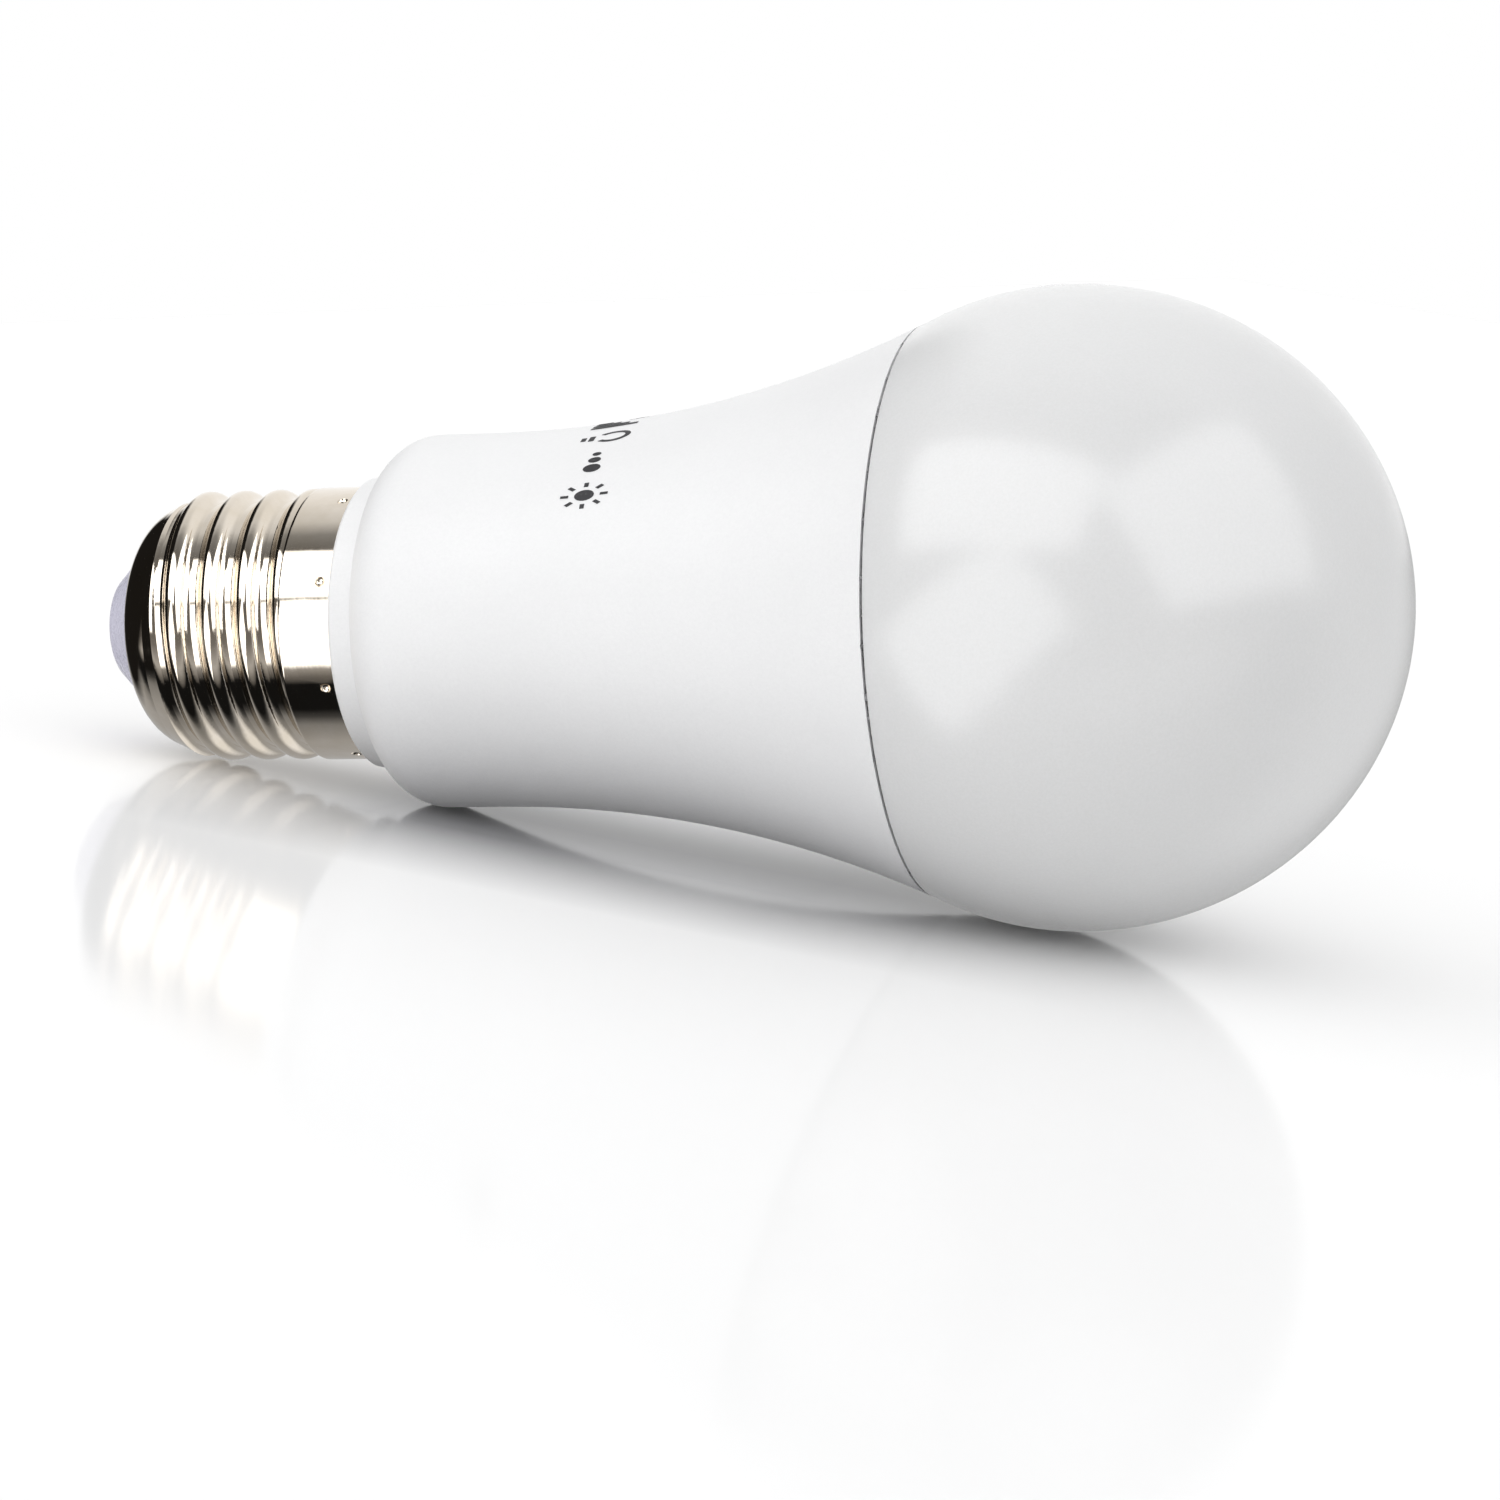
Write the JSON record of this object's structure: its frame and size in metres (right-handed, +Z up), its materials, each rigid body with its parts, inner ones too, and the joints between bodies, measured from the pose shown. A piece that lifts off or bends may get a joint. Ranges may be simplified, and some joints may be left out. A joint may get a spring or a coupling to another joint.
{
  "type": "smart light bulb",
  "caption": "Pear-shaped LED lamp with a radio module: milky diffuser dome, slim flared white housing and an E27 screw cap.",
  "frame": {"origin": "on the lamp axis, at the end face of the cap's centre contact", "axes": "+X along the lamp axis from the cap to the tip of the dome, +Z up as the lamp lies in the picture"},
  "size_m": [0.1275, 0.06, 0.06],
  "materials": {
    "nickel_plate": "polished nickel plate on rolled steel",
    "insulator_plastic": "smooth pale lavender-grey moulding",
    "contact_metal": "tinned brass",
    "housing_plastic": "satin white with a fine grain",
    "diffuser_plastic": "milky satin gloss, translucent",
    "adhesive": "cured grey silicone",
    "cup_aluminium": "deep drawn, plain",
    "thermal_paste": "soft white paste",
    "white_solder_mask": "white solder mask on aluminium core",
    "warm_phosphor": "warm phosphor in clear silicone",
    "cool_phosphor": "cool phosphor in clear silicone",
    "clear_encapsulant": "clear lens in a white frame",
    "screw_steel": "zinc plated",
    "green_board": "green solder mask on glass fibre board",
    "blue_board": "blue solder mask on glass fibre board",
    "capacitor_sleeve": "shrink sleeve",
    "film_case": "moulded box",
    "ferrite": "sintered ferrite",
    "copper": "enamelled copper",
    "bobbin_plastic": "moulded",
    "winding_tape": "polyester tape over copper wire",
    "chip_plastic": "moulded epoxy",
    "resistor_lacquer": "flameproof lacquer",
    "shield_metal": "tin plate",
    "lead_insulation": "insulated wire",
    "bare_wire": "tinned copper wire"
  },
  "bodies": {
    "root": {"screw_shell": "nickel_plate", "cap_insulator": "insulator_plastic", "centre_contact": "contact_metal", "housing": "housing_plastic", "diffuser_dome": "diffuser_plastic", "dome_adhesive": "adhesive", "heat_sink_cup": "cup_aluminium", "thermal_paste": "thermal_paste", "led_board": "white_solder_mask", "warm_white_leds": "warm_phosphor", "cool_white_leds": "cool_phosphor", "colour_leds": "clear_encapsulant", "board_screws": "screw_steel", "driver_board": "green_board", "input_capacitor": "capacitor_sleeve", "output_capacitor": "capacitor_sleeve", "film_capacitor": "film_case", "choke_core": "ferrite", "choke_coil": "copper", "transformer_core": "ferrite", "transformer_bobbin": "bobbin_plastic", "transformer_winding": "winding_tape", "bridge_rectifier": "chip_plastic", "driver_chip": "chip_plastic", "fusible_resistor": "resistor_lacquer", "header_block": "chip_plastic", "header_pins": "contact_metal", "radio_board": "blue_board", "radio_shield": "shield_metal", "radio_antenna": "copper", "radio_pins": "contact_metal", "live_lead": "lead_insulation", "neutral_lead": "bare_wire"}
  },
  "joints": []
}
